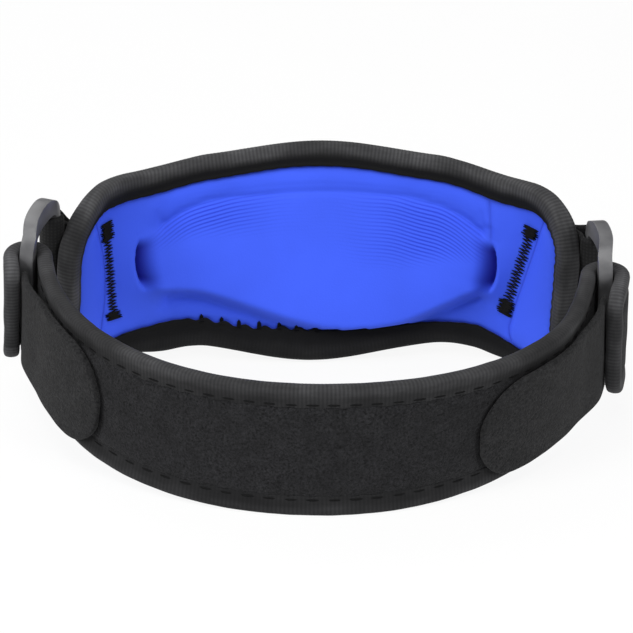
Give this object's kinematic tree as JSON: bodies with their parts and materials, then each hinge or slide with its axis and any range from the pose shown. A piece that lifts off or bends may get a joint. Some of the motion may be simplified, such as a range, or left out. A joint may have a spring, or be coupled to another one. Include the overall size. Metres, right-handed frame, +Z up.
{
  "type": "tennis elbow strap",
  "caption": "Adjustable forearm brace: a padded, lined and bound panel joined by plastic rings to a bound strap whose ends fold back through the rings under hook tabs.",
  "frame": {"origin": "middle of the footprint, on the table under the lower edges", "axes": "+X to the right across the loop, seen from the strap; +Y from the strap to the pad; +Z up, the way the arm goes through"},
  "size_m": [0.1636, 0.1068, 0.058],
  "materials": {
    "neoprene": "black knit-faced foam rubber",
    "lining": "blue stretch knit",
    "binding": "black ribbed tape",
    "loop_pile": "black brushed loop pile",
    "hook_tab": "black brushed tape",
    "plastic": "satin grey-black",
    "webbing": "black woven tape"
  },
  "bodies": {
    "root": {"pad_panel": "neoprene", "pad_lining": "lining", "pad_binding": "binding", "strap_band": "loop_pile", "strap_binding": "binding", "hook_tab_left": "hook_tab", "hook_tab_right": "hook_tab", "ring_left": "plastic", "ring_right": "plastic", "webbing_left": "webbing", "webbing_right": "webbing"}
  },
  "joints": []
}
